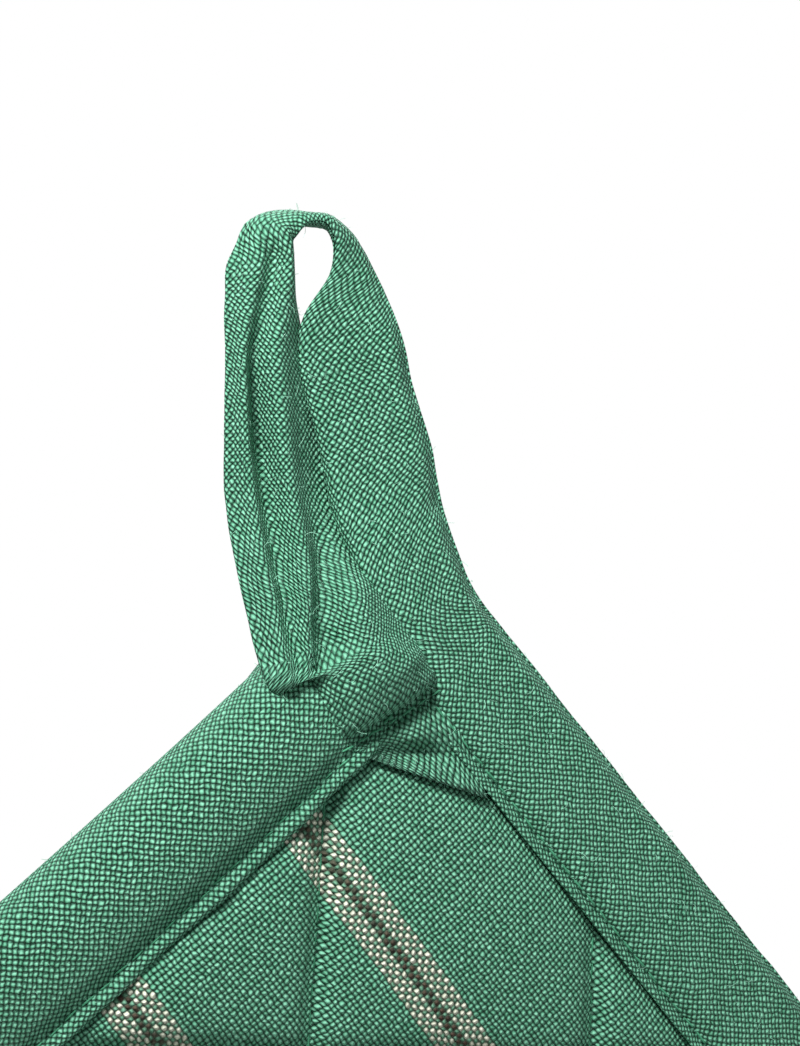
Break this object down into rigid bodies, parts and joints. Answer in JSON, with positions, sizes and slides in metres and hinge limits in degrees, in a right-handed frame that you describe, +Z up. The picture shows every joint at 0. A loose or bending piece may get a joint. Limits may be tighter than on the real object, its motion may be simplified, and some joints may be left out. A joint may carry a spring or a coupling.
{
  "type": "oven mitt",
  "caption": "Quilted oven mitt of striped woven fabric with bound edges, hanging by one cuff corner from a folded fabric loop.",
  "frame": {"origin": "highest point inside the hanging loop, where a hook carries the mitt", "axes": "+Z up as the mitt hangs; +Y through its thickness, from the front panel to the back panel; +X towards the side seam that the loop grows from"},
  "size_m": [0.2826, 0.0377, 0.323],
  "materials": {
    "shell_fabric": "matt plain weave with cream and brown stripes",
    "binding_fabric": "matt plain weave cut on the bias",
    "lining_fabric": "matt unbleached cotton",
    "batting": "lofted wadding",
    "thread": "spun sewing thread"
  },
  "bodies": {
    "loop": {"loop_tape": "binding_fabric"},
    "hand": {"back_batting_hand": "batting", "back_cuff_binding": "binding_fabric", "back_cuff_stitches": "thread", "back_lining_hand": "lining_fabric", "back_quilting_hand": "thread", "back_shell_hand": "shell_fabric", "front_batting_hand": "batting", "front_cuff_binding": "binding_fabric", "front_cuff_stitches": "thread", "front_lining_hand": "lining_fabric", "front_quilting_hand": "thread", "front_shell_hand": "shell_fabric", "loop_tail": "binding_fabric", "side_binding_hand": "binding_fabric", "side_stitches_hand": "thread", "tail_stitches": "thread"},
    "fingers": {"back_batting_fingers": "batting", "back_lining_fingers": "lining_fabric", "back_quilting_fingers": "thread", "back_shell_fingers": "shell_fabric", "front_batting_fingers": "batting", "front_lining_fingers": "lining_fabric", "front_quilting_fingers": "thread", "front_shell_fingers": "shell_fabric", "side_binding_fingers": "binding_fabric", "side_stitches_fingers": "thread"},
    "thumb": {"back_batting_thumb": "batting", "back_lining_thumb": "lining_fabric", "back_quilting_thumb": "thread", "back_shell_thumb": "shell_fabric", "front_batting_thumb": "batting", "front_lining_thumb": "lining_fabric", "front_quilting_thumb": "thread", "front_shell_thumb": "shell_fabric", "side_binding_thumb": "binding_fabric", "side_stitches_thumb": "thread"}
  },
  "joints": [
    {"name": "loop_swing", "type": "hinge", "parent": "loop", "child": "hand", "pos_m": [0.004, 0, -0.036], "axis": [1, 0, 0], "range_deg": [-70, 70]},
    {"name": "finger_fold", "type": "hinge", "parent": "hand", "child": "fingers", "pos_m": [0.09481, 0, -0.23626], "axis": [-0.766, 0, -0.6428], "range_deg": [0, 50], "stiffness_Nm_per_rad": 0.05},
    {"name": "thumb_fold", "type": "hinge", "parent": "hand", "child": "thumb", "pos_m": [-0.00569, 0, -0.25728], "axis": [-0.9962, 0, 0.0872], "range_deg": [0, 40], "stiffness_Nm_per_rad": 0.03}
  ]
}
